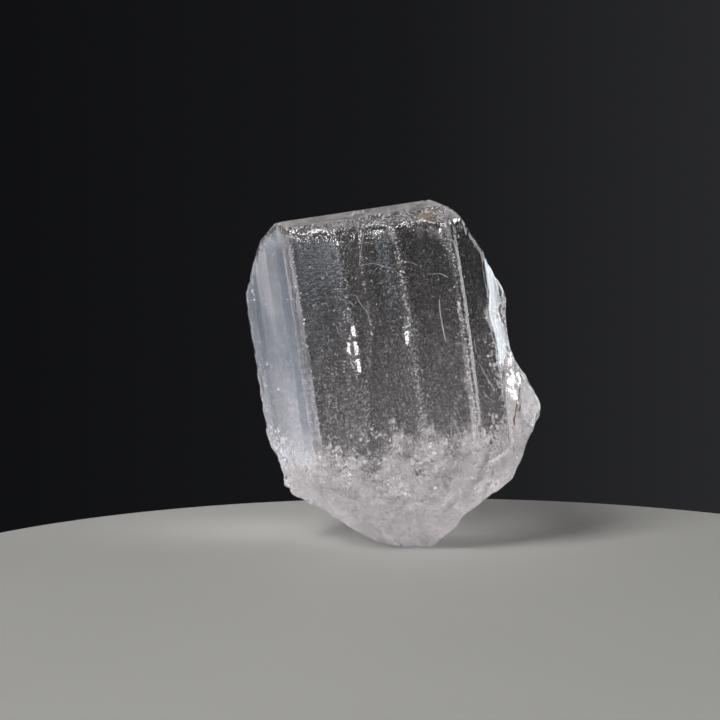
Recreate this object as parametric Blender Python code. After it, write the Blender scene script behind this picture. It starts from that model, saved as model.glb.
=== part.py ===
"""A loose, clear topaz crystal: a fluted prism with a flat top and a broken, scooped base.

It is one natural solid. The prism is drawn upright in its own frame, with u to the right, v away
from the viewer and w along the prism. It is then leaned over, and its base is broken in the
standing frame, with x to the right, y away from the viewer and z up from the ground. Both frames
are in millimetres, and the finished stone is scaled to metres.
"""

import math
import random

import bmesh
import bpy
from mathutils import Matrix, Vector
from mathutils.bvhtree import BVHTree

MM = 0.001

# Driving dimensions, in millimetres and degrees.
TOP_W = 28.6
PRISM_START_W = -5.0
LEAN_LEFT = 8.5
LEAN_BACK = 1.0
FLUTE_STEPS = 5

# The prism's corners as (u, v, hollow): hollow is how deep the flute to the next corner is.
SECTION = (
    (-9.8, -1.5, 0.10),
    (-5.75, -7.6, 0.0),
    (-4.9, -8.3, 0.14),
    (-1.1, -9.0, 0.30),
    (3.6, -9.2, 0.28),
    (8.1, -8.6, 0.12),
    (10.6, -6.7, 0.22),
    (12.6, -2.6, 0.25),
    (11.8, 4.6, 0.10),
    (8.4, 8.4, 0.28),
    (1.4, 9.0, 0.32),
    (-5.3, 6.6, 0.18),
    (-9.0, 2.6, 0.12),
)

# Flat cuts on the upright prism, as (a point on the plane, its outward normal).
TOP_CUTS = (
    ((0.0, 0.0, TOP_W), (0.0, 0.0, 1.0)),
    ((0.0, -6.9, TOP_W), (0.02, -0.55, 0.83)),
    ((3.6, -9.2, 27.0), (0.17, -0.55, 0.81)),
    ((-6.4, 0.0, TOP_W), (-0.62, -0.06, 0.78)),
    ((-6.8, 0.0, 27.8), (-0.86, 0.16, 0.47)),
    ((5.7, 0.0, TOP_W), (0.29, 0.05, 0.955)),
    ((7.9, 0.0, 27.85), (0.60, 0.02, 0.80)),
    ((9.1, -6.0, 26.6), (0.885, 0.10, 0.455)),
    ((12.15, 0.0, 20.2), (0.99, 0.0, 0.11)),
    ((3.0, 6.6, TOP_W), (0.25, 0.66, 0.71)),
    ((-3.0, 5.2, TOP_W), (-0.38, 0.60, 0.70)),
)

# The ledge that stands out at the lower right, as the corners of a block before the cuts.
LEDGE = (
    (6.0, -5.0, 17.0), (9.7, -3.4, 16.6), (9.5, 3.0, 16.4), (6.0, 5.0, 16.0),
    (12.1, -3.6, 12.2), (12.3, 2.2, 12.0), (11.4, 5.4, 11.0), (11.0, -6.2, 11.2),
    (6.0, -7.4, 2.0), (13.2, -5.0, 2.0), (13.2, 4.0, 2.0), (6.0, 7.0, 2.0),
)

# The broken base as flat cuts on the leaning stone, each a point and its outward normal.
BASE_CUTS = (
    ((-10.05, 0.0, 6.6), (-0.93, 0.08, -0.37)),
    ((-9.5, 0.0, 4.5), (-0.64, 0.12, -0.76)),
    ((-7.0, 0.0, 2.4), (-0.44, -0.06, -0.90)),
    ((-2.0, 1.0, 0.0), (-0.30, 0.05, -0.95)),
    ((12.3, 0.0, 10.9), (0.91, -0.05, -0.41)),
    ((10.2, 0.0, 6.7), (0.81, 0.08, -0.58)),
    ((7.4, 0.0, 3.3), (0.65, -0.10, -0.76)),
    ((3.7, 1.0, 0.0), (0.52, 0.06, -0.85)),
    ((0.0, -9.2, 7.8), (0.02, -0.94, -0.34)),
    ((0.0, -8.4, 5.2), (-0.05, -0.86, -0.50)),
    ((0.5, -6.8, 2.5), (0.06, -0.71, -0.71)),
    ((1.0, -4.2, 0.0), (0.03, -0.50, -0.86)),
    ((-6.7, -7.7, 3.3), (-0.28, -0.56, -0.78)),
    ((0.1, -4.0, 0.0), (-0.46, -0.38, -0.80)),
    ((9.6, -6.7, 9.4), (0.60, -0.66, -0.46)),
    ((6.4, -6.6, 3.7), (0.44, -0.64, -0.63)),
    ((0.0, 9.0, 7.6), (0.05, 0.90, -0.44)),
    ((1.0, 6.2, 1.6), (-0.06, 0.66, -0.75)),
    ((1.0, 4.8, 0.0), (0.08, 0.42, -0.90)),
    ((-7.6, 4.4, 4.2), (-0.56, 0.55, -0.62)),
    ((8.8, 6.6, 6.4), (0.58, 0.56, -0.59)),
)

# Shell-shaped fractures as (heading, dip, radius, bite). A line from the heart of the base meets
# the surface at that heading (0 is towards the viewer, 90 to the right) and dip below level.
HEART = Vector((0.5, 0.0, 8.0))
SCOOPS = (
    (-10, 9, 6.6, 0.85),
    (27, 9, 6.0, 0.70),
    (9, 32, 5.5, 0.55),
    (-36, 24, 6.0, 0.65),
    (-18, 38, 6.0, 0.50),
    (33, 32, 5.5, 0.55),
    (54, 14, 7.0, 0.60),
    (-63, 24, 5.0, 0.55),
    (-84, 10, 4.2, 0.45),
    (-72, 32, 4.5, 0.45),
    (60, 36, 5.5, 0.50),
    (86, 22, 5.0, 0.45),
    (72, -6, 5.0, 0.50),
    (100, -12, 6.5, 0.45),
    (80, -34, 9.0, 0.32),
    (104, -48, 6.0, 0.30),
    (112, 26, 6.5, 0.75),
    (144, 30, 7.0, 0.80),
    (176, 20, 6.0, 0.75),
    (-152, 28, 6.5, 0.80),
    (-120, 26, 6.0, 0.75),
    (-102, 14, 5.0, 0.50),
    (165, 44, 5.0, 0.45),
    (-142, 46, 4.5, 0.40),
    (62, -20, 5.0, 0.40),
    (121, -22, 5.5, 0.45),
    (64, 4, 4.5, 0.40),
    (122, 2, 5.0, 0.50),
    (-90, 46, 5.5, 0.50),
    (-58, 52, 5.0, 0.40),
    (-112, 54, 5.0, 0.40),
    (84, 50, 5.0, 0.45),
    (112, 48, 5.5, 0.45),
    (140, 52, 4.5, 0.35),
    (-168, 38, 5.0, 0.50),
)
SMALL_CHIPS = 18
CHIP_SEED = 11
CHIP_HEADINGS = (-180, 180)
CHIP_DIPS = (8, 34)
CHIP_RADII = (1.5, 2.6)
CHIP_BITES = (0.18, 0.34)

# Long edges of the upright prism that are nicked: (end, other end, how many nicks).
NICKED_EDGES = (
    ((-9.8, -1.5, 24.0), (-9.8, -1.5, 9.0), 9),
    ((12.6, -2.6, 21.0), (12.6, -2.6, 17.5), 2),
    ((-5.0, -6.9, TOP_W), (5.6, -6.9, TOP_W), 6),
    ((6.4, -7.4, 28.0), (9.6, -6.0, 26.2), 3),
)
NICK_RADII = (0.35, 0.70)
NICK_STANDOFF = 0.7


def clear_scene():
    for thing in list(bpy.data.objects):
        bpy.data.objects.remove(thing)


def flute(start, end, hollow):
    """Points from start to just before end on a shallow arc that dips inwards by hollow."""
    along = Vector(end) - Vector(start)
    inward = Vector((-along.y, along.x)).normalized()
    steps = FLUTE_STEPS if hollow > 0 else 1
    points = []
    for i in range(steps):
        share = i / steps
        dip = hollow * 4 * share * (1 - share)
        points.append(Vector(start) + along * share + inward * dip)
    return points


def prism_outline():
    outline = []
    for here, following in zip(SECTION, SECTION[1:] + SECTION[:1]):
        outline += flute(here[:2], following[:2], here[2])
    return outline


def prism_mesh():
    mesh = bmesh.new()
    ring = [mesh.verts.new((p.x, p.y, PRISM_START_W)) for p in prism_outline()]
    floor = mesh.faces.new(ring)
    grown = bmesh.ops.extrude_face_region(mesh, geom=[floor])["geom"]
    raised = [part for part in grown if isinstance(part, bmesh.types.BMVert)]
    bmesh.ops.translate(mesh, verts=raised, vec=(0, 0, TOP_W + 1 - PRISM_START_W))
    bmesh.ops.recalc_face_normals(mesh, faces=mesh.faces)
    return mesh


def ledge_mesh():
    mesh = bmesh.new()
    for corner in LEDGE:
        mesh.verts.new(corner)
    bmesh.ops.convex_hull(mesh, input=mesh.verts)
    return mesh


def slice_off(mesh, point, normal):
    """Cuts away what lies beyond a plane, and closes the cut."""
    everything = mesh.verts[:] + mesh.edges[:] + mesh.faces[:]
    cut = bmesh.ops.bisect_plane(
        mesh, geom=everything, plane_co=point, plane_no=normal, clear_outer=True, dist=1e-5
    )["geom_cut"]
    rim = [part for part in cut if isinstance(part, bmesh.types.BMEdge)]
    bmesh.ops.contextual_create(mesh, geom=rim)


def as_object(name, mesh):
    data = bpy.data.meshes.new(name)
    mesh.to_mesh(data)
    mesh.free()
    thing = bpy.data.objects.new(name, data)
    bpy.context.scene.collection.objects.link(thing)
    return thing


def combine(thing, other, operation):
    """Joins or cuts thing with other, and removes other."""
    modifier = thing.modifiers.new(operation.lower(), "BOOLEAN")
    modifier.operation = operation
    modifier.object = other
    graph = bpy.context.evaluated_depsgraph_get()
    result = bpy.data.meshes.new_from_object(thing.evaluated_get(graph))
    thing.modifiers.clear()
    thing.data = result
    bpy.data.objects.remove(other)


def shell_cutter(centre, radius, turn):
    """A ball whose side leaves the curved face of a shell-shaped fracture."""
    mesh = bmesh.new()
    detail = 4 if radius > 2 else 2
    bmesh.ops.create_icosphere(mesh, subdivisions=detail, radius=radius)
    bmesh.ops.rotate(mesh, verts=mesh.verts, matrix=Matrix.Rotation(turn, 3, (1, 2, 3)))
    bmesh.ops.translate(mesh, verts=mesh.verts, vec=centre)
    return as_object("scoop_cutter", mesh)


def heading_vector(heading, dip):
    turn = math.radians(heading)
    drop = math.radians(dip)
    return Vector(
        (math.sin(turn) * math.cos(drop), -math.cos(turn) * math.cos(drop), -math.sin(drop))
    )


def scoop(stone, heading, dip, radius, bite, turn):
    """Takes one shell-shaped bite out of the stone where a line from its heart comes out."""
    surface = BVHTree.FromObject(stone, bpy.context.evaluated_depsgraph_get())
    way = heading_vector(heading, dip)
    place, normal, _, _ = surface.ray_cast(HEART, way)
    outward = (way + normal * 2).normalized()
    combine(stone, shell_cutter(place + outward * (radius - bite), radius, turn), "DIFFERENCE")


def lean_matrix():
    back = Matrix.Rotation(-math.radians(LEAN_BACK), 4, "X")
    return back @ Matrix.Rotation(-math.radians(LEAN_LEFT), 4, "Y")


def leaning_prism():
    """The upright prism with its top cut, leaned over to the left and a little back."""
    prism = prism_mesh()
    for point, normal in TOP_CUTS:
        slice_off(prism, point, normal)
    bmesh.ops.transform(prism, matrix=lean_matrix(), verts=prism.verts)
    return as_object("topaz_crystal", prism)


def break_base(stone):
    """Adds the ledge and cuts the base flat by flat, down to the flat that the stone rests on."""
    combine(stone, as_object("ledge", ledge_mesh()), "UNION")
    mesh = bmesh.new()
    mesh.from_mesh(stone.data)
    for point, normal in BASE_CUTS:
        slice_off(mesh, point, normal)
    mesh.to_mesh(stone.data)
    mesh.free()


def scoop_base(stone, draw):
    for heading, dip, radius, bite in SCOOPS:
        scoop(stone, heading, dip, radius, bite, draw.uniform(0, math.tau))
    for _ in range(SMALL_CHIPS):
        heading = draw.uniform(*CHIP_HEADINGS)
        dip = draw.uniform(*CHIP_DIPS)
        radius = draw.uniform(*CHIP_RADII)
        bite = draw.uniform(*CHIP_BITES)
        scoop(stone, heading, dip, radius, bite, draw.uniform(0, math.tau))


def nick_edges(stone, draw):
    """Small bites along the prism's long edges and round its top."""
    lean = lean_matrix()
    for start, end, count in NICKED_EDGES:
        for i in range(count):
            share = (i + draw.uniform(0.1, 0.9)) / count
            spot = Vector(start).lerp(Vector(end), share)
            radius = draw.uniform(*NICK_RADII)
            outward = Vector((spot.x, spot.y, max(0, spot.z - TOP_W + 4) * 3)).normalized()
            centre = lean @ (spot + outward * radius * NICK_STANDOFF)
            combine(stone, shell_cutter(centre, radius, draw.uniform(0, math.tau)), "DIFFERENCE")


def stand(stone):
    """Cuts the foot flat, and puts the origin under the middle of the stone's box, in metres."""
    mesh = bmesh.new()
    mesh.from_mesh(stone.data)
    slice_off(mesh, (0, 0, 0), (0, 0, -1))
    bmesh.ops.dissolve_limit(
        mesh, angle_limit=math.radians(0.5), verts=mesh.verts, edges=mesh.edges
    )
    bmesh.ops.triangulate(mesh, faces=mesh.faces)
    low = [min(vert.co[k] for vert in mesh.verts) for k in range(3)]
    high = [max(vert.co[k] for vert in mesh.verts) for k in range(3)]
    middle = Vector(((low[0] + high[0]) / 2, (low[1] + high[1]) / 2, low[2]))
    bmesh.ops.translate(mesh, verts=mesh.verts, vec=-middle)
    bmesh.ops.scale(mesh, verts=mesh.verts, vec=(MM, MM, MM))
    mesh.to_mesh(stone.data)
    mesh.free()


def clear_topaz():
    material = bpy.data.materials.new("clear_topaz")
    material.use_nodes = True
    shader = material.node_tree.nodes["Principled BSDF"]
    shader.inputs["Base Color"].default_value = (0.95, 0.94, 0.95, 1)
    shader.inputs["Roughness"].default_value = 0.08
    shader.inputs["Metallic"].default_value = 0.0
    shader.inputs["Transmission Weight"].default_value = 1.0
    shader.inputs["IOR"].default_value = 1.62
    return material


def main():
    clear_scene()
    draw = random.Random(CHIP_SEED)
    stone = leaning_prism()
    break_base(stone)
    scoop_base(stone, draw)
    nick_edges(stone, draw)
    stand(stone)
    stone.data.materials.clear()
    stone.data.materials.append(clear_topaz())


main()
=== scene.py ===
"""Finish of a loose, clear topaz crystal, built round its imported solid.

The stone's own mesh is refined and worked over: fine grooves run along the prism, ripples and
hackles cross the broken base, and the edges are chipped. Inside it are specks, thin cleavage
cracks and a milky cloud of small healed cracks near the break. Places on the prism are given in
its own upright frame: u to the right, v away from the viewer and w along it. Sizes are in
millimetres unless a name says otherwise.
"""
import math
import random

import bmesh
import bpy
from mathutils import Matrix, Vector, noise
from mathutils.kdtree import KDTree


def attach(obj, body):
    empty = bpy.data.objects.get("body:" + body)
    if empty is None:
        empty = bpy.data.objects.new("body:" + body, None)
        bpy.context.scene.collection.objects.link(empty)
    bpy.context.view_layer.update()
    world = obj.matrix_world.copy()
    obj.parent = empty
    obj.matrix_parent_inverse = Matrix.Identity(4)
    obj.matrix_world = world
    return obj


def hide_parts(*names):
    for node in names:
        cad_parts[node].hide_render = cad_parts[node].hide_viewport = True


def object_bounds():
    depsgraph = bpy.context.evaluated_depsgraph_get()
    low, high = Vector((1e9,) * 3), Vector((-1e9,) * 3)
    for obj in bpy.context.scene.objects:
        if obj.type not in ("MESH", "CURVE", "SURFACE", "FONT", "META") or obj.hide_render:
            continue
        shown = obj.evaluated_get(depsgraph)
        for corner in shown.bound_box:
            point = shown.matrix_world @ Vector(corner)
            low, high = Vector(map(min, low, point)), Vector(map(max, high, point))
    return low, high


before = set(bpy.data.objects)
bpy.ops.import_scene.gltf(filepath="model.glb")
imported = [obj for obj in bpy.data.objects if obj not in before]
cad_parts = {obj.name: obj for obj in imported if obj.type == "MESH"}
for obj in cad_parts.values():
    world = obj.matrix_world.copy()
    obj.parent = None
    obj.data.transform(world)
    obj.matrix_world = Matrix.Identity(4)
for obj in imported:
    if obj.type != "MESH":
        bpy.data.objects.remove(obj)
cad_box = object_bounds()

MM = 0.001
SEED = 7
# Without this the cracks would wander differently on each run.
noise.seed_set(SEED)

# How the prism stands: its lean and where its own frame's origin lies in the part's frame.
LEAN_LEFT = math.radians(8.5)
LEAN_BACK = math.radians(1.0)
PRISM_ORIGIN = Vector((0.34, -0.20, 0.0))
TOP_W = 28.6
FRONT_V = -6.0

# The photograph's view.
VIEW_ELEVATION = math.radians(5)
LENS = 100.0
CAMERA_DISTANCE = 172.9
AIM_LEFT = 2.85
AIM_UP = 0.85

# How finely each kind of surface is meshed, and what kinds there are.
PRISM_EDGE = 0.30
TOP_EDGE = 0.60
STRIP_EDGE = 0.20
BREAK_EDGE = 0.25
LINE_EDGE = 0.13
CHIP_EDGE = 0.07
ALONG_SHARE = 0.35
SHARP_ANGLE = math.radians(24)
PRISM, TOP, STRIP, BROKEN = range(4)

# Whitish lines down the front, as (points in u and w, half width, strength).
LINES = (
    (((-5.0, 28.0), (-4.95, 14.5), (-4.9, 6.0)), 0.12, 0.2),
    (((0.95, 27.4), (0.5, 24.5), (0.57, 20.4), (0.43, 18.3), (-0.24, 15.5), (-0.6, 13.1), (-1.1, 9.8)), 0.16, 0.45),
    (((3.45, 27.2), (3.62, 24.9), (3.70, 21.6), (3.81, 18.3), (3.70, 14.1), (3.44, 9.6), (3.04, 8.0)), 0.36, 1.0),
    (((7.75, 26.6), (8.23, 23.4), (8.32, 20.0), (8.25, 16.7), (8.10, 11.8), (7.82, 6.7)), 0.26, 0.75),
)

# Sparkle patches where the prism meets the break, with a clear spot among them, as x, y, z and
# size in the part's own frame. Their thick white flakes are painted highlights that stand for glints.
PAINTED_SPARKLE_PATCHES = (
    (-0.6, -8.5, 8.7, 0.7), (0.2, -8.4, 8.3, 0.6), (0.9, -8.5, 7.8, 0.5), (1.5, -8.5, 6.2, 0.6),
    (3.8, -8.8, 8.2, 0.5), (5.2, -8.3, 8.2, 0.7), (6.7, -8.1, 8.0, 0.6), (7.7, -8.2, 8.8, 0.5),
    (-5.2, -8.1, 5.9, 0.7), (-3.3, -8.5, 6.3, 0.6), (-6.9, -6.9, 6.1, 1.1), (-6.2, -7.4, 4.9, 0.8),
    (9.4, -4.4, 17.2, 0.8), (9.3, -5.0, 15.9, 1.1), (9.9, -4.9, 14.9, 1.1), (9.4, -5.7, 14.1, 1.1),
    (9.7, -5.7, 13.1, 0.9), (-8.4, -5.4, 7.6, 0.9),
)
CLEAR_WINDOW = (2.1, -8.8, 7.2, 0.75)

# What the flakes inside are scattered by.
SCATTERED = ("milk", "chalk_and_painted_sparkle", "dust", "veil")

# The first flat of the front, which is fuller than its flute: its two ends and its fullness.
FULL_FLAT = ((-4.9, -8.3), (-1.1, -9.0), 0.13)

# Rows of small chips on the front ridges that catch the light: (u, v, top w, low w, teeth, half width).
SCALLOPS = (
    (-1.12, -9.0, 19.6, 15.3, 3, 0.44),
    (3.42, -9.2, 19.7, 17.1, 2, 0.34),
)
SCALLOP_DEPTH = 0.09
SCALLOP_RISE = 0.096
SCALLOP_SLANT = -0.105
SCALLOP_CURVE = 0.11


def prism_frame():
    """Turns a direction in the part's frame into the upright prism's u, v, w."""
    lean = Matrix.Rotation(-LEAN_BACK, 3, "X") @ Matrix.Rotation(-LEAN_LEFT, 3, "Y")
    return lean.inverted()


UPRIGHT = prism_frame()
STANDING = UPRIGHT.inverted()


def to_prism(point):
    """u, v, w in millimetres of a point in metres."""
    return UPRIGHT @ (point / MM - PRISM_ORIGIN)


def from_prism(place):
    """The point in metres at a u, v, w in millimetres."""
    return (STANDING @ Vector(place) + PRISM_ORIGIN) * MM


def clamp(value, low=0.0, high=1.0):
    return max(low, min(high, value))


def ramp(value, start, end):
    """0 at start and 1 at end, eased between them."""
    share = clamp((value - start) / (end - start))
    return share * share * (3 - 2 * share)


# The stone's surface

def zone_of(face):
    """Which of the stone's surfaces a face of the solid belongs to."""
    tilt = UPRIGHT @ face.normal
    w = to_prism(face.calc_center_median()).z
    if abs(tilt.z) < 0.012:
        return PRISM
    if tilt.z > 0.985:
        return TOP
    if tilt.z > 0.25 and w > TOP_W - 2.6 and (tilt.y < -0.2 or 0.2 < tilt.x < 0.7):
        return STRIP
    if tilt.z > 0.09 and w > TOP_W - 13:
        return TOP
    return BROKEN


def line_distance(place):
    """Distance to the nearest front line, as a share of its half width, and its strength."""
    best, strength = 99.0, 0.0
    if place.y > FRONT_V:
        return best, strength
    spot = Vector((place.x, place.z))
    for points, half_width, line_strength in LINES:
        for start, end in zip(points, points[1:]):
            a, b = Vector(start), Vector(end)
            along = b - a
            share = clamp((spot - a).dot(along) / along.length_squared)
            away = (spot - a - along * share).length / half_width
            if away < best:
                best, strength = away, line_strength
    return best, strength


def front_edge(place):
    """How long the prism's edges may be here, which is less at a line or a chip on a ridge."""
    if place.y > FRONT_V:
        return PRISM_EDGE
    for u, v, high, low, teeth, half_width in SCALLOPS:
        if abs(place.x - u) < half_width + 0.2 and low - 0.2 < place.z < high + 0.2:
            return CHIP_EDGE
    if line_distance(place)[0] < 1.6:
        return LINE_EDGE
    return PRISM_EDGE


def drop_flaps(mesh):
    """Removes pairs of faces that lie back to back on the same three vertices."""
    mesh.verts.index_update()
    twins = {}
    for face in mesh.faces:
        twins.setdefault(frozenset(vert.index for vert in face.verts), []).append(face)
    flaps = [face for faces in twins.values() if len(faces) > 1 for face in faces]
    bmesh.ops.delete(mesh, geom=flaps, context="FACES")


def refine(mesh, zone):
    """Splits long edges until the mesh is fine enough to carry the surface's relief.

    On the prism a length along it counts for less, because its grooves run that way.
    """
    goal = {TOP: TOP_EDGE, STRIP: STRIP_EDGE, BROKEN: BREAK_EDGE}
    for _ in range(10):
        long_edges = []
        for edge in mesh.edges:
            kinds = {face[zone] for face in edge.link_faces}
            start, end = (to_prism(vert.co) for vert in edge.verts)
            span = end - start
            limit = min(goal.get(kind, PRISM_EDGE) for kind in kinds)
            if kinds == {PRISM}:
                span.z *= ALONG_SHARE
                limit = PRISM_EDGE if span.length > PRISM_EDGE * 1.35 else front_edge((start + end) / 2)
            if span.length > limit * 1.35:
                long_edges.append(edge)
        if not long_edges:
            break
        bmesh.ops.subdivide_edges(mesh, edges=long_edges, cuts=1)
        bmesh.ops.triangulate(mesh, faces=[f for f in mesh.faces if len(f.verts) > 3])
        drop_flaps(mesh)


def edge_distance(mesh, reach):
    """For each vertex, how far it is from the nearest sharp edge, up to a reach, in metres."""
    sharp = {
        vert.index
        for edge in mesh.edges
        if edge.calc_face_angle(0) > SHARP_ANGLE
        for vert in edge.verts
    }
    tree = KDTree(len(sharp))
    for index in sorted(sharp):
        tree.insert(mesh.verts[index].co, index)
    tree.balance()
    distances = []
    for vert in mesh.verts:
        if vert.index in sharp:
            distances.append(0.0)
            continue
        found = tree.find(vert.co)[2]
        distances.append(min(found, reach))
    return sharp, distances


def ease_facets(mesh, sharp, rounds):
    """Rounds the shell-shaped fractures between their sharp rims."""
    free = [vert for vert in mesh.verts if vert.index not in sharp]
    for _ in range(rounds):
        bmesh.ops.smooth_vert(
            mesh, verts=free, factor=0.5, use_axis_x=True, use_axis_y=True, use_axis_z=True
        )


def impact_points():
    """Places on the broken base from which ripples spread."""
    draw = random.Random(SEED)
    low, high = cad_box
    centre = Vector(((low.x + high.x) / 2, (low.y + high.y) / 2, 6 * MM))
    points = []
    for _ in range(26):
        way = Vector((draw.gauss(0, 1), draw.gauss(0, 1), draw.uniform(-0.9, 0.4))).normalized()
        points.append(centre + Vector((way.x * 12, way.y * 10, way.z * 6)) * MM)
    return points


def groove_height(place, sideways):
    """Fine growth grooves that run along the prism, strongest on its side faces."""
    u, v, w = place
    broad = noise.noise(Vector((u * 0.9, v * 0.9, w * 0.018)))
    fine = noise.noise(Vector((u * 2.2, v * 2.2, w * 0.035 + 9)))
    share = 0.35 + 0.65 * sideways
    return share * (0.022 * broad + 0.010 * fine)


def full_flat_height(place):
    """Fills the flute of the front's first flat."""
    (u0, v0), (u1, v1), fullness = FULL_FLAT
    if place.y > FRONT_V or not u0 < place.x < u1:
        return 0.0
    share = (place.x - u0) / (u1 - u0)
    return fullness * 4 * share * (1 - share)


def line_height(away, strength):
    """The low rounded bead along each whitish line."""
    return 0.035 * strength * math.exp(-away * away)


def scallop_depth(place):
    """How far a row of chips cuts a front ridge back."""
    depth = 0.0
    for u, v, high, low, teeth, half_width in SCALLOPS:
        if not (low < place.z < high and abs(place.x - u) < 2 * half_width):
            continue
        length = (high - low) / teeth
        climb = (place.z - low) % length
        middle = 1 - abs(2 * (place.z - low) / (high - low) - 1)
        reach = half_width * (0.45 + 0.75 * middle)
        across = place.x - u - 0.10 * math.sin(place.z * 1.7)
        if abs(across) > reach:
            continue
        cut = v + SCALLOP_DEPTH + SCALLOP_RISE * climb
        cut += SCALLOP_SLANT * across + SCALLOP_CURVE * across * across
        depth = max(depth, cut - place.y)
    return depth


def right_chip_depth(place):
    """The shallow chip that parts the two bright places of the right side."""
    low, high, depth = 16.6, 20.3, 0.32
    if place.x < 9.6 or not low < place.z < high:
        return 0.0
    share = 1 - abs(2 * (place.z - low) / (high - low) - 1)
    return depth * share * ramp(place.x, 9.6, 10.8)


def ripple_height(point, place, impacts):
    """Ripples, hackles and small chips of the broken surfaces."""
    nearest = min((point - impact).length for impact in impacts) / MM
    ripple = math.sin(nearest * 5.2 + 1.5 * noise.noise(place * 0.4))
    hackle = 1 - abs(noise.noise(place * 0.9)) * 2
    chips = noise.noise(place * 2.3)
    scoops = noise.voronoi(place * 0.55 + Vector((3, 1, 0)))[0][0]
    broad = 0.070 * hackle * noise.noise(place * 0.33)
    return 0.014 * ripple + broad + 0.045 * chips + 0.16 * (scoops - 0.5)


def grain_height(place):
    """The granular strip along the top's front edge."""
    coarse = noise.noise(place * 1.5)
    fine = noise.noise(place * 4.2)
    return 0.11 * coarse + 0.085 * fine


def edge_wear(place, distance):
    """How far a chipped edge falls back. The ridges of the front are hardly worn."""
    near = math.exp(-((distance / MM / 0.22) ** 2))
    if place.y < FRONT_V and -7.0 < place.x < 9.5 and 9.5 < place.z < TOP_W - 2:
        near *= 0.12
    if place.x < -7.5:
        near *= 1.7
    bite = max(0.0, noise.noise(place * 0.8 + Vector((5, 0, 0))) - 0.05)
    crumble = 0.5 + 0.5 * noise.noise(place * 3.1)
    return near * (0.02 + 0.28 * bite + 0.05 * crumble)


def painted_sparkle_amount(point):
    """How thickly the sparkle patches at the top of the break lie here, less its clear window. Their white flakes
    are painted highlights.
    """
    spot = point / MM
    amount = 0.0
    for x, y, z, size in PAINTED_SPARKLE_PATCHES:
        away = (spot - Vector((x, y, z))).length / size
        amount = max(amount, math.exp(-away * away))
    x, y, z, size = CLEAR_WINDOW
    away = (spot - Vector((x, y, z))).length / size
    return amount - 2 * math.exp(-away ** 4)


def frost_amount(place, facing, rough, line):
    """How frosted the surface is: 0 for clear glass, 1 for a pitted break, 2 for an even frost."""
    back = ramp(facing.y, 0.0, 0.5)
    if facing.z > 0.3 and facing.x > 0.2 and 10.8 < place.z < 14.5 and place.x > 9.5:
        rough *= 0.6
    streaks = 0.5 + 0.9 * noise.noise(Vector((place.x * 0.42, place.y * 0.42, place.z * 0.03)))
    low = ramp(place.z, 24, 7)
    prism = back * (0.06 + 0.20 * streaks + 0.80 * low) + 0.18 * low
    front = 0.12 + 0.20 * streaks + 0.7 * ramp(place.z, TOP_W - 2.0, TOP_W - 1.1)
    pitted = clamp(rough + (1 - rough) * max(prism, front, 0.7 * line))
    even = ramp(facing.z, 0.5, 0.7) * ramp(place.z, TOP_W - 0.65, TOP_W - 0.45)
    return pitted + (1.8 - pitted) * even


def milk_amount(place, broken):
    """How thickly healed cracks cloud the stone under this surface."""
    ragged = place.z + 1.6 * noise.noise(place * 0.35) + 0.7 * noise.noise(place * 1.1)
    low = ramp(ragged, 9.6, 7.4)
    clouds = 0.75 + 0.5 * noise.noise(place * 0.5 + Vector((0, 0, 4)))
    return clouds * max(low, 0.75 * broken)


def band_amount(place):
    """The pale band just right of the first flute."""
    if place.y > FRONT_V or place.z < 15.5:
        return 0.0
    edge = -1.45 - 0.075 * (27.4 - place.z)
    return ramp(place.x, edge - 0.05, edge + 0.05) * ramp(place.x, edge + 1.7, edge + 1.0)


def veil_amount(place, line):
    """How thickly the finest specks lie here: in columns, more of them lower down."""
    columns = 0.85 + 1.5 * noise.noise(Vector((place.x * 0.55, place.y * 0.25, place.z * 0.05 + 20)))
    return max(0.1, columns) * ramp(place.z, 23.5, 9.5) + 6.0 * line + 2.2 * band_amount(place)


def chalk_and_painted_sparkle_amount(place, strip, line, patch):
    """How thickly fine white flakes lie just under this surface: a real powdery grain along the strip, the lines
    and the band, and painted sparkle highlights in the sparkle patches.
    """
    grains = 0.6 + 0.8 * noise.noise(place * 1.1 + Vector((2, 0, 0)))
    band = 0.18 * band_amount(place)
    return clamp(max(strip * (0.3 + grains), 0.6 * line * (0.7 + 0.5 * grains), band, patch))


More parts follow.
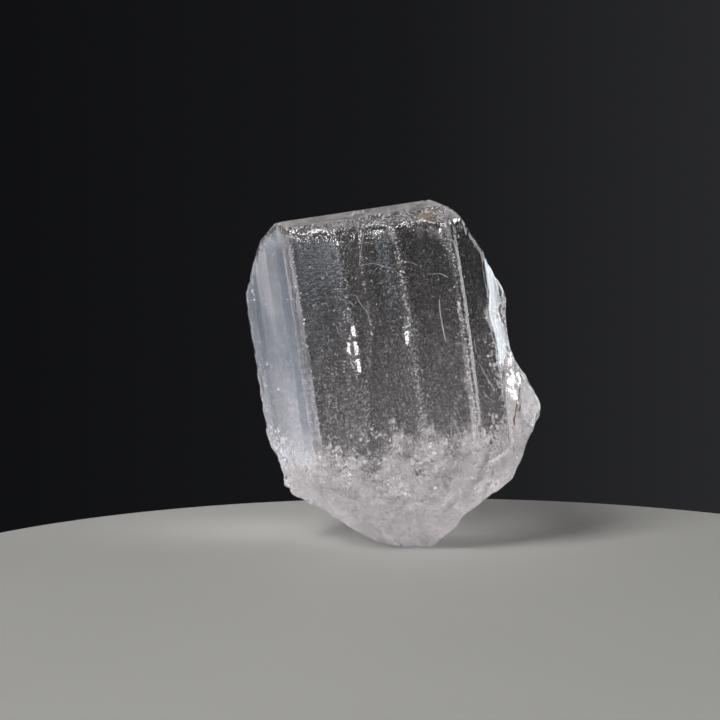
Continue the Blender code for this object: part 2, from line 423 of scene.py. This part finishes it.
def worked_stone():
    """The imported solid's mesh with the relief of the real stone's surface."""
    mesh = bmesh.new()
    mesh.from_mesh(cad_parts["topaz_crystal"].data)
    bmesh.ops.remove_doubles(mesh, verts=mesh.verts, dist=2e-6)
    bmesh.ops.dissolve_limit(
        mesh, angle_limit=math.radians(0.4), verts=mesh.verts, edges=mesh.edges
    )
    bmesh.ops.triangulate(mesh, faces=mesh.faces)
    zone = mesh.faces.layers.int.new("zone")
    for face in mesh.faces:
        face[zone] = zone_of(face)
    refine(mesh, zone)
    mesh.verts.ensure_lookup_table()
    mesh.verts.index_update()
    sharp, distances = edge_distance(mesh, 1.2 * MM)
    ease_facets(mesh, sharp, 6)
    mesh.normal_update()
    impacts = impact_points()
    layers = {name: mesh.verts.layers.float.new(name) for name in ("frost", *SCATTERED)}
    moves = []
    for vert in mesh.verts:
        place = to_prism(vert.co)
        facing = UPRIGHT @ vert.normal
        kinds = [face[zone] for face in vert.link_faces]
        broken = kinds.count(BROKEN) / len(kinds)
        strip = kinds.count(STRIP) / len(kinds)
        smooth = 1 - broken - strip
        away, strength = line_distance(place)
        line = smooth * strength * math.exp(-away * away)
        height = 0.0
        if TOP not in kinds:
            height += smooth * groove_height(place, ramp(abs(facing.x), 0.4, 0.8))
        if PRISM in kinds:
            height += smooth * (full_flat_height(place) + line_height(away, strength))
            height -= smooth * (scallop_depth(place) + right_chip_depth(place))
        height += broken * ripple_height(vert.co, place, impacts)
        height += strip * grain_height(place)
        height -= edge_wear(place, distances[vert.index])
        # The sparkle patches get thick white flakes here, which are painted highlights.
        patch = painted_sparkle_amount(vert.co)
        clear = clamp(1 + patch)
        vert[layers["frost"]] = clear * frost_amount(place, facing, broken + strip, line)
        vert[layers["milk"]] = clear * milk_amount(place, broken)
        vert[layers["chalk_and_painted_sparkle"]] = chalk_and_painted_sparkle_amount(place, strip, line, patch)
        vert[layers["veil"]] = clear * smooth * veil_amount(place, line)
        vert[layers["dust"]] = smooth * (0.18 + 0.7 * ramp(place.z, 23, 14) + 0.9 * ramp(place.z, 15, 9.5))
        foot = clamp(vert.co.z / (0.25 * MM))
        moves.append(vert.normal * height * MM * foot)
    for vert, move in zip(mesh.verts, moves):
        vert.co += move
        vert.co.z = max(0.0, vert.co.z)
    data = bpy.data.meshes.new("topaz_stone")
    mesh.to_mesh(data)
    mesh.free()
    data.shade_smooth()
    data.set_sharp_from_angle(angle=SHARP_ANGLE)
    stone = bpy.data.objects.new("topaz_stone", data)
    bpy.context.scene.collection.objects.link(stone)
    print("stone triangles", len(data.polygons))
    return stone


# What lies inside the stone

def socket(sockets, name):
    return next(s for s in sockets if s.name == name and s.enabled)


def flake_tree():
    """Scatters thin flakes under a host's surface, as thickly as one of its attributes says."""
    tree = bpy.data.node_groups.new("scattered_flakes", "GeometryNodeTree")
    face = tree.interface
    face.new_socket("Geometry", in_out="INPUT", socket_type="NodeSocketGeometry")
    face.new_socket("Geometry", in_out="OUTPUT", socket_type="NodeSocketGeometry")
    for name in ("Density", "Shallowest", "Deepest", "Smallest", "Largest", "Rarity", "Flatness"):
        face.new_socket(name, in_out="INPUT", socket_type="NodeSocketFloat")
    face.new_socket("Mask", in_out="INPUT", socket_type="NodeSocketString")
    face.new_socket("Seed", in_out="INPUT", socket_type="NodeSocketInt")
    face.new_socket("Material", in_out="INPUT", socket_type="NodeSocketMaterial")
    nodes, links = tree.nodes, tree.links

    def add(kind, **inputs):
        node = nodes.new(kind)
        for name, value in inputs.items():
            target = socket(node.inputs, name.replace("_", " "))
            if isinstance(value, bpy.types.NodeSocket):
                links.new(value, target)
            else:
                target.default_value = value
        return node

    def arithmetic(operation, first, second):
        node = nodes.new("ShaderNodeMath")
        node.operation = operation
        for target, value in zip(node.inputs, (first, second)):
            if isinstance(value, bpy.types.NodeSocket):
                links.new(value, target)
            else:
                target.default_value = value
        return node.outputs[0]

    def chance(low, high, rarity, offset):
        """A random value between two, which is less often near the high one as rarity grows."""
        node = nodes.new("FunctionNodeRandomValue")
        links.new(arithmetic("ADD", given["Seed"], offset), socket(node.inputs, "Seed"))
        share = arithmetic("POWER", socket(node.outputs, "Value"), rarity)
        return arithmetic("ADD", low, arithmetic("MULTIPLY", share, arithmetic("SUBTRACT", high, low)))

    given = nodes.new("NodeGroupInput").outputs
    mask = nodes.new("GeometryNodeInputNamedAttribute")
    links.new(given["Mask"], mask.inputs["Name"])
    density = arithmetic("MULTIPLY", given["Density"], mask.outputs["Attribute"])
    spread = add("GeometryNodeDistributePointsOnFaces", Mesh=given["Geometry"], Density=density,
                 Seed=given["Seed"])
    inward = nodes.new("ShaderNodeVectorMath")
    inward.operation = "SCALE"
    links.new(spread.outputs["Normal"], inward.inputs[0])
    inward.inputs["Scale"].default_value = -1.0
    skin = nodes.new("ShaderNodeVectorMath")
    skin.operation = "MULTIPLY_ADD"
    links.new(inward.outputs[0], skin.inputs[0])
    skin.inputs[1].default_value = (0.01 * MM, 0.01 * MM, 0.01 * MM)
    position = nodes.new("GeometryNodeInputPosition").outputs[0]
    links.new(position, skin.inputs[2])
    across = add("GeometryNodeRaycast", Target_Geometry=given["Geometry"],
                 Source_Position=skin.outputs[0], Ray_Direction=inward.outputs[0],
                 Ray_Length=60 * MM)
    lost = arithmetic("LESS_THAN", across.outputs["Is Hit"], 0.5)
    kept = add("GeometryNodeDeleteGeometry", Geometry=spread.outputs["Points"], Selection=lost)
    half = arithmetic("MULTIPLY", across.outputs["Hit Distance"], 0.48)
    depth = arithmetic("MINIMUM", half, chance(given["Shallowest"], given["Deepest"], 1.0, 1))
    push = nodes.new("ShaderNodeVectorMath")
    push.operation = "SCALE"
    links.new(inward.outputs[0], push.inputs[0])
    links.new(depth, push.inputs["Scale"])
    sunk = add("GeometryNodeSetPosition", Geometry=kept.outputs["Geometry"], Offset=push.outputs[0])
    wall = add("GeometryNodeProximity", Geometry=given["Geometry"])
    room = arithmetic("MULTIPLY", wall.outputs["Distance"], 0.9)
    size = arithmetic("MINIMUM", room, chance(given["Smallest"], given["Largest"], given["Rarity"], 2))
    shape = nodes.new("ShaderNodeCombineXYZ")
    links.new(size, shape.inputs[0])
    links.new(arithmetic("MULTIPLY", size, 0.7), shape.inputs[1])
    links.new(arithmetic("MULTIPLY", size, given["Flatness"]), shape.inputs[2])
    turn = nodes.new("FunctionNodeRandomValue")
    turn.data_type = "FLOAT_VECTOR"
    socket(turn.inputs, "Max").default_value = (math.tau, math.tau, math.tau)
    links.new(arithmetic("ADD", given["Seed"], 3), socket(turn.inputs, "Seed"))
    flake = add("GeometryNodeMeshUVSphere", Radius=1.0, Segments=4, Rings=2)
    roomy = arithmetic("GREATER_THAN", wall.outputs["Distance"], 0.012 * MM)
    copies = add("GeometryNodeInstanceOnPoints", Points=sunk.outputs["Geometry"],
                 Selection=roomy, Instance=flake.outputs["Mesh"],
                 Rotation=socket(turn.outputs, "Value"), Scale=shape.outputs[0])
    real = add("GeometryNodeRealizeInstances", Geometry=copies.outputs["Instances"])
    finished = add("GeometryNodeSetMaterial", Geometry=real.outputs["Geometry"],
                   Material=given["Material"])
    links.new(finished.outputs["Geometry"], nodes.new("NodeGroupOutput").inputs["Geometry"])
    return tree


def scattered(name, tree, stone, material, settings):
    """One plain mesh of flakes under the stone's surface."""
    host = bpy.data.objects.new(name + "_host", stone.data)
    bpy.context.scene.collection.objects.link(host)
    modifier = host.modifiers.new("flakes", "NODES")
    modifier.node_group = tree
    inputs = {item.name: item.identifier for item in tree.interface.items_tree if item.in_out == "INPUT"}
    for label, value in settings.items():
        modifier[inputs[label]] = value
    modifier[inputs["Material"]] = material
    bpy.context.view_layer.update()
    seen = host.evaluated_get(bpy.context.evaluated_depsgraph_get())
    data = bpy.data.meshes.new_from_object(seen)
    data.name = name
    bpy.data.objects.remove(host)
    for attribute in [a.name for a in data.attributes if a.name in ("frost", *SCATTERED)]:
        data.attributes.remove(data.attributes[attribute])
    piece = bpy.data.objects.new(name, data)
    bpy.context.scene.collection.objects.link(piece)
    ride_inside(piece)
    print(name, "faces", len(data.polygons))
    return piece


def ride_inside(piece):
    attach(piece, "root")


# Thin cracks under the front, as points in u, v and w. The last three short blades are not cracks but painted
# glints, white marks where light catches the stone.
CRACKS_AND_PAINTED_GLINTS = (
    ((1.32, -8.62, 27.2), (1.05, -8.60, 26.6), (0.72, -8.58, 25.6), (0.45, -8.58, 24.6), (0.30, -8.60, 24.1)),
    ((0.30, -8.60, 24.1), (0.9, -8.55, 24.15), (1.6, -8.6, 24.05), (2.3, -8.65, 23.8), (3.2, -8.75, 23.4)),
    ((4.06, -8.8, 23.9), (4.6, -8.6, 23.75), (5.1, -8.5, 23.45)),
    ((5.7, -8.35, 22.6), (6.2, -8.3, 22.55), (6.8, -8.3, 22.45), (7.4, -8.3, 22.05)),
    ((-0.3, -8.7, 21.8), (0.0, -8.6, 20.9), (0.4, -8.55, 20.2), (0.6, -8.55, 19.3)),
    ((6.4, -8.2, 20.4), (6.32, -8.25, 19.2), (6.38, -8.25, 18.2), (6.45, -8.25, 16.8)),
    ((8.9, -7.6, 14.6), (9.2, -7.4, 13.7), (9.6, -7.1, 12.9), (9.9, -6.8, 12.2)),
    ((8.8, -7.7, 12.4), (9.3, -7.3, 11.6), (9.9, -6.9, 11.2)),
    # From here on the blades are painted glints, white marks that stand for highlights.
    ((5.9, -8.3, 10.4), (5.8, -8.3, 9.5), (5.75, -8.3, 8.7)),
    ((8.75, -7.85, 16.6), (8.8, -7.85, 16.1), (8.82, -7.85, 15.5)),
    ((8.0, -8.35, 9.8), (8.02, -8.35, 9.3), (7.95, -8.35, 8.7)),
)
CRACK_AND_GLINT_WIDTH = 0.16
CRACK_AND_GLINT_THICKNESS = 0.03
RUST_THICKNESS = 0.13

# Rusty cracks at the right, the same way.
RUSTY_CRACKS = (
    ((12.2, -5.1, 11.95), (11.95, -5.55, 11.3), (11.75, -5.93, 10.85), (11.6, -6.18, 10.4), (11.42, -6.3, 9.9)),
    ((12.05, -5.5, 11.1), (11.9, -5.8, 10.6), (11.75, -6.1, 10.1)),
    ((11.42, -6.3, 9.9), (11.28, -6.36, 9.4), (11.2, -6.3, 8.9)),
)


# A yellow-brown stain under the top's front edge: its place in u, v, w and its half sizes.
STAIN_PLACE = (6.35, -8.05, 27.15)
STAIN_SIZE = (0.80, 0.12, 0.42)


def blade(mesh, points, width, thickness, draw):
    """A thin closed blade that runs through the points and reaches inwards from them."""
    places = [Vector(point) for point in points]
    centre = Vector((1.0, 0.0, 14.0))
    rows = []
    for i, place in enumerate(places):
        along = (places[min(i + 1, len(places) - 1)] - places[max(i - 1, 0)]).normalized()
        inward = centre - place
        inward.z = 0
        inward = (inward - along * inward.dot(along)).normalized()
        side = along.cross(inward).normalized() * thickness / 2
        end = 0.35 if i in (0, len(places) - 1) else 1.0
        reach = inward * width * end * draw.uniform(0.6, 1.2)
        corners = (place - side * end, place + side * end, place + reach)
        rows.append([mesh.verts.new(from_prism(corner)) for corner in corners])
    for first, second in zip(rows, rows[1:]):
        for i in range(3):
            j = (i + 1) % 3
            mesh.faces.new((first[i], first[j], second[j], second[i]))
    mesh.faces.new(rows[0][::-1])
    mesh.faces.new(rows[-1])


def finer(points):
    """The points with two more between each pair, on a smooth curve."""
    places = [Vector(point) + noise.noise_vector(Vector(point) * 1.3) * 0.08 for point in points]
    curve = [places[0]]
    for i in range(len(places) - 1):
        p0 = places[max(i - 1, 0)]
        p1, p2 = places[i], places[i + 1]
        p3 = places[min(i + 2, len(places) - 1)]
        for t in (1 / 3, 2 / 3, 1.0):
            curve.append(0.5 * (2 * p1 + (p2 - p0) * t + (2 * p0 - 5 * p1 + 4 * p2 - p3) * t * t
                                + (3 * p1 - p0 - 3 * p2 + p3) * t ** 3))
    return curve


def stain(name, place, size, material):
    """A small ragged patch of stain just under the surface."""
    mesh = bmesh.new()
    bmesh.ops.create_icosphere(mesh, subdivisions=3, radius=1.0)
    for vert in mesh.verts:
        ragged = 1 + 0.45 * noise.noise(vert.co * 2.2)
        vert.co = from_prism(Vector(place) + Vector(a * b for a, b in zip(vert.co * ragged, size)))
    data = bpy.data.meshes.new(name)
    mesh.to_mesh(data)
    mesh.free()
    data.shade_smooth()
    data.materials.append(material)
    piece = bpy.data.objects.new(name, data)
    bpy.context.scene.collection.objects.link(piece)
    ride_inside(piece)


def blades(name, paths, material, thickness):
    draw = random.Random(SEED + 1)
    mesh = bmesh.new()
    for path in paths:
        blade(mesh, finer(path), CRACK_AND_GLINT_WIDTH, thickness, draw)
    bmesh.ops.recalc_face_normals(mesh, faces=mesh.faces)
    data = bpy.data.meshes.new(name)
    mesh.to_mesh(data)
    mesh.free()
    data.materials.append(material)
    piece = bpy.data.objects.new(name, data)
    bpy.context.scene.collection.objects.link(piece)
    ride_inside(piece)


# Materials

def new_material(name):
    material = bpy.data.materials.new(name)
    material.use_nodes = True
    nodes = material.node_tree.nodes
    return material, nodes, material.node_tree.links, nodes["Principled BSDF"]


def math_node(nodes, links, operation, first, second):
    node = nodes.new("ShaderNodeMath")
    node.operation = operation
    for target, value in zip(node.inputs, (first, second)):
        if isinstance(value, (int, float)):
            target.default_value = value
        else:
            links.new(value, target)
    return node.outputs[0]


def scaled_noise(nodes, links, vector, scale, detail, stretch=None):
    """Noise on Object coordinates, stretched along the prism where a stretch is given."""
    if stretch:
        mapping = nodes.new("ShaderNodeMapping")
        mapping.inputs["Rotation"].default_value = (0, LEAN_LEFT, 0)
        mapping.inputs["Scale"].default_value = stretch
        links.new(vector, mapping.inputs["Vector"])
        vector = mapping.outputs["Vector"]
    texture = nodes.new("ShaderNodeTexNoise")
    texture.inputs["Scale"].default_value = scale
    texture.inputs["Detail"].default_value = detail
    links.new(vector, texture.inputs["Vector"])
    return texture.outputs["Fac"]


def clear_topaz():
    material, nodes, links, shader = new_material("clear_topaz_finish")
    shader.inputs["Transmission Weight"].default_value = 0.975
    shader.inputs["IOR"].default_value = 1.62
    shader.inputs["Metallic"].default_value = 0.0
    place = nodes.new("ShaderNodeTexCoord").outputs["Object"]
    frost = nodes.new("ShaderNodeAttribute")
    frost.attribute_name = "frost"

    clouds = scaled_noise(nodes, links, place, 320, 3)
    clouds = math_node(nodes, links, "ADD", clouds, 0.35)
    rough = math_node(nodes, links, "MULTIPLY", frost.outputs["Fac"], clouds)
    rough = math_node(nodes, links, "MULTIPLY_ADD", rough, 0.22)
    rough.node.inputs[2].default_value = 0.02
    links.new(rough, shader.inputs["Roughness"])

    shader.inputs["Base Color"].default_value = (0.97, 0.965, 0.97, 1)

    striae = scaled_noise(nodes, links, place, 1500, 2, (1, 1, 0.012))
    grit = scaled_noise(nodes, links, place, 4200, 3)
    pitted = math_node(nodes, links, "SUBTRACT", 2.0, frost.outputs["Fac"])
    pitted = math_node(nodes, links, "MINIMUM", pitted, frost.outputs["Fac"])
    pits = math_node(nodes, links, "MULTIPLY", grit, pitted)
    height = math_node(nodes, links, "ADD", math_node(nodes, links, "MULTIPLY", striae, 0.12), pits)
    bump = nodes.new("ShaderNodeBump")
    bump.inputs["Strength"].default_value = 0.6
    bump.inputs["Distance"].default_value = 0.09 * MM
    links.new(height, bump.inputs["Height"])
    links.new(bump.outputs["Normal"], shader.inputs["Normal"])

    lamplight = nodes.new("ShaderNodeBsdfTransparent")
    lamplight.inputs["Color"].default_value = (0.49, 0.485, 0.49, 1)
    either = nodes.new("ShaderNodeMixShader")
    links.new(nodes.new("ShaderNodeLightPath").outputs["Is Shadow Ray"], either.inputs["Fac"])
    links.new(shader.outputs["BSDF"], either.inputs[1])
    links.new(lamplight.outputs["BSDF"], either.inputs[2])
    links.new(either.outputs["Shader"], nodes["Material Output"].inputs["Surface"])

    absorption = nodes.new("ShaderNodeVolumeAbsorption")
    absorption.inputs["Color"].default_value = (0.86, 0.80, 0.83, 1)
    absorption.inputs["Density"].default_value = 22
    links.new(absorption.outputs["Volume"], nodes["Material Output"].inputs["Volume"])
    return material


def mottle_group():
    """Mixes two colours by a soft noise, for everything that isn't clear."""
    group = bpy.data.node_groups.new("mottle", "ShaderNodeTree")
    face = group.interface
    face.new_socket("Scale", in_out="INPUT", socket_type="NodeSocketFloat")
    face.new_socket("Light", in_out="INPUT", socket_type="NodeSocketColor")
    face.new_socket("Dark", in_out="INPUT", socket_type="NodeSocketColor")
    face.new_socket("Color", in_out="OUTPUT", socket_type="NodeSocketColor")
    face.new_socket("Height", in_out="OUTPUT", socket_type="NodeSocketFloat")
    nodes, links = group.nodes, group.links
    given = nodes.new("NodeGroupInput").outputs
    place = nodes.new("ShaderNodeTexCoord").outputs["Object"]
    texture = nodes.new("ShaderNodeTexNoise")
    texture.inputs["Detail"].default_value = 4
    links.new(place, texture.inputs["Vector"])
    links.new(given["Scale"], texture.inputs["Scale"])
    mix = nodes.new("ShaderNodeMix")
    mix.data_type = "RGBA"
    links.new(texture.outputs["Fac"], mix.inputs["Factor"])
    links.new(given["Light"], mix.inputs[6])
    links.new(given["Dark"], mix.inputs[7])
    result = nodes.new("NodeGroupOutput").inputs
    links.new(mix.outputs[2], result["Color"])
    links.new(texture.outputs["Fac"], result["Height"])
    return group


def mottled(name, mottle, scale, light, dark, roughness, alpha):
    material, nodes, links, shader = new_material(name)
    group = nodes.new("ShaderNodeGroup")
    group.node_tree = mottle
    group.inputs["Scale"].default_value = scale
    group.inputs["Light"].default_value = (*light, 1)
    group.inputs["Dark"].default_value = (*dark, 1)
    links.new(group.outputs["Color"], shader.inputs["Base Color"])
    bump = nodes.new("ShaderNodeBump")
    bump.inputs["Strength"].default_value = 0.3
    bump.inputs["Distance"].default_value = 0.02 * MM
    links.new(group.outputs["Height"], bump.inputs["Height"])
    links.new(bump.outputs["Normal"], shader.inputs["Normal"])
    shader.inputs["Roughness"].default_value = roughness
    shader.inputs["Alpha"].default_value = alpha
    return material


# Stage, lights and camera

FLOOR_RADIUS = 46.0
FLOOR_THICKNESS = 6.0
FLOOR_CENTRE = Vector((3.0, -24.0, 0.0))


def pale_floor(material):
    mesh = bmesh.new()
    bmesh.ops.create_circle(mesh, cap_ends=True, segments=256, radius=FLOOR_RADIUS * MM)
    rim = bmesh.ops.extrude_face_region(mesh, geom=mesh.faces[:])["geom"]
    low_verts = [part for part in rim if isinstance(part, bmesh.types.BMVert)]
    bmesh.ops.translate(mesh, verts=low_verts, vec=(0, 0, -FLOOR_THICKNESS * MM))
    bmesh.ops.recalc_face_normals(mesh, faces=mesh.faces)
    bmesh.ops.translate(mesh, verts=mesh.verts, vec=FLOOR_CENTRE * MM)
    data = bpy.data.meshes.new("floor")
    mesh.to_mesh(data)
    mesh.free()
    data.materials.append(material)
    floor = bpy.data.objects.new("floor", data)
    bpy.context.scene.collection.objects.link(floor)


def softbox(name, azimuth, elevation, distance, width, height, radiance, colour, only=""):
    """A rectangular light aimed at the stone. Azimuth 0 is the viewer's side, 90 the right.

    One for gloss shows only as a reflection, and one for the outside isn't seen through the stone.
    """
    a, e = math.radians(azimuth), math.radians(elevation)
    away = Vector((math.sin(a) * math.cos(e), -math.cos(a) * math.cos(e), math.sin(e)))
    light = bpy.data.lights.new(name, "AREA")
    light.shape = "RECTANGLE"
    light.size = width
    light.size_y = height
    light.color = colour
    light.energy = radiance * math.pi * width * height
    lamp = bpy.data.objects.new(name, light)
    lamp.location = Vector((0, 0, 0.013)) + away * distance
    lamp.rotation_mode = "QUATERNION"
    lamp.rotation_quaternion = (-away).to_track_quat("-Z", "Y")
    lamp.visible_camera = False
    lamp.visible_transmission = only == ""
    lamp.visible_diffuse = only != "gloss"
    bpy.context.scene.collection.objects.link(lamp)


def lights():
    softbox("key", -42, 46, 0.50, 0.20, 0.20, 21.0, (1.0, 0.985, 0.96))
    softbox("spark", -12, 7, 0.50, 0.12, 0.06, 19.0, (1.0, 0.99, 0.97), "gloss")
    softbox("sky_front", -21, 6, 0.60, 0.13, 0.18, 1.9, (0.72, 0.86, 1.0), "gloss")
    softbox("sky_side", -107, -10, 0.60, 0.74, 0.36, 1.25, (0.66, 0.82, 1.0), "outside")
    softbox("rim", 141, 3, 0.50, 0.26, 0.15, 3.2, (0.88, 0.95, 1.0), "gloss")
    softbox("side_fill", 104, 10, 0.50, 0.20, 0.20, 4.0, (1.0, 1.0, 1.0), "outside")
    softbox("glint", 67, 46, 0.50, 0.18, 0.18, 26.0, (1.0, 1.0, 1.0), "gloss")
    world = bpy.data.worlds.new("dark_studio")
    world.use_nodes = True
    nodes, links = world.node_tree.nodes, world.node_tree.links
    way = nodes.new("ShaderNodeTexCoord").outputs["Generated"]
    split = nodes.new("ShaderNodeSeparateXYZ")
    links.new(way, split.inputs[0])
    across = nodes.new("ShaderNodeMapRange")
    across.inputs["From Min"].default_value = -0.2
    across.inputs["From Max"].default_value = 0.2
    links.new(split.outputs["X"], across.inputs["Value"])
    shades = nodes.new("ShaderNodeValToRGB")
    shades.color_ramp.elements[0].color = (0.0048, 0.0050, 0.0058, 1)
    shades.color_ramp.elements[1].color = (0.0225, 0.0230, 0.0250, 1)
    shades.color_ramp.elements.new(0.55).color = (0.0090, 0.0093, 0.0106, 1)
    links.new(across.outputs["Result"], shades.inputs["Fac"])
    links.new(shades.outputs["Color"], nodes["Background"].inputs["Color"])
    bpy.context.scene.world = world


def camera():
    low, high = cad_box
    centre = (low + high) / 2
    aim = centre + Vector((-AIM_LEFT, 0, AIM_UP)) * MM
    back = Vector((0, -math.cos(VIEW_ELEVATION), math.sin(VIEW_ELEVATION)))
    data = bpy.data.cameras.new("camera")
    data.lens = LENS
    data.clip_start = 0.005
    data.clip_end = 5
    viewer = bpy.data.objects.new("camera", data)
    viewer.location = aim + back * CAMERA_DISTANCE * MM
    viewer.rotation_mode = "QUATERNION"
    viewer.rotation_quaternion = (-back).to_track_quat("-Z", "Y")
    bpy.context.scene.collection.objects.link(viewer)
    bpy.context.scene.camera = viewer


# Densities are flakes per square metre of the surface above them.
CLOUD = {"Mask": "milk", "Density": 26.0e6, "Shallowest": 0.06 * MM, "Deepest": 3.2 * MM,
         "Smallest": 0.05 * MM, "Largest": 0.26 * MM, "Rarity": 1.6, "Flatness": 0.15, "Seed": SEED}
# White flakes: real powdery grain, and painted sparkle highlights in the sparkle patches.
CHALK_AND_PAINTED_SPARKLE = {"Mask": "chalk_and_painted_sparkle", "Density": 90.0e6, "Shallowest": 0.04 * MM, "Deepest": 0.30 * MM,
         "Smallest": 0.018 * MM, "Largest": 0.13 * MM, "Rarity": 2.2, "Flatness": 0.4,
         "Seed": SEED + 10}
VEIL = {"Mask": "veil", "Density": 42.0e6, "Shallowest": 0.15 * MM, "Deepest": 8.0 * MM,
        "Smallest": 0.013 * MM, "Largest": 0.030 * MM, "Rarity": 1.0, "Flatness": 0.7,
        "Seed": SEED + 30}
DUST = {"Mask": "dust", "Density": 13.0e6, "Shallowest": 0.1 * MM, "Deepest": 8.0 * MM,
        "Smallest": 0.010 * MM, "Largest": 0.070 * MM, "Rarity": 4.5, "Flatness": 0.7,
        "Seed": SEED + 20}


def main():
    stone = worked_stone()
    mottle = mottle_group()
    milky = mottled("milky_flake", mottle, 400, (0.84, 0.82, 0.83), (0.70, 0.68, 0.69), 0.45, 1.0)
    # White of the powdery grain, which also paints the sparkle highlights.
    grain_and_sparkle_white = mottled("chalk_and_painted_sparkle_flake", mottle, 1400, (0.97, 0.96, 0.96), (0.30, 0.29, 0.29), 0.5, 1.0)
    # White of the cleavage cracks, which also paints the glints of three short blades.
    bright = mottled("crack_and_painted_glint_white", mottle, 900, (0.90, 0.90, 0.90), (0.50, 0.50, 0.51), 0.35, 0.6)
    rust = mottled("rusty_crack", mottle, 1200, (0.36, 0.22, 0.12), (0.10, 0.05, 0.03), 0.8, 0.95)
    ochre = mottled("ochre_stain", mottle, 1500, (0.44, 0.34, 0.25), (0.27, 0.19, 0.13), 0.7, 0.5)
    floor_finish = mottled("pale_floor", mottle, 25, (0.37, 0.37, 0.355), (0.33, 0.33, 0.32), 0.75, 1.0)
    tree = flake_tree()
    scattered("milky_cloud", tree, stone, milky, CLOUD)
    scattered("chalk_and_painted_sparkle_flakes", tree, stone, grain_and_sparkle_white, CHALK_AND_PAINTED_SPARKLE)
    scattered("dust_specks", tree, stone, milky, DUST)
    scattered("thin_veil", tree, stone, milky, VEIL)
    bpy.data.node_groups.remove(tree)
    # Cleavage cracks, and three blades that are painted glints.
    blades("cleavage_cracks_and_painted_glints", CRACKS_AND_PAINTED_GLINTS, bright, CRACK_AND_GLINT_THICKNESS)
    blades("rusty_cracks", RUSTY_CRACKS, rust, RUST_THICKNESS)
    stain("iron_stain", STAIN_PLACE, STAIN_SIZE, ochre)
    for name in SCATTERED:
        stone.data.attributes.remove(stone.data.attributes[name])
    stone.data.materials.clear()
    stone.data.materials.append(clear_topaz())
    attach(stone, "root")
    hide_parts("topaz_crystal")
    pale_floor(floor_finish)
    lights()
    camera()
    bpy.context.scene.view_settings.view_transform = "Standard"


main()
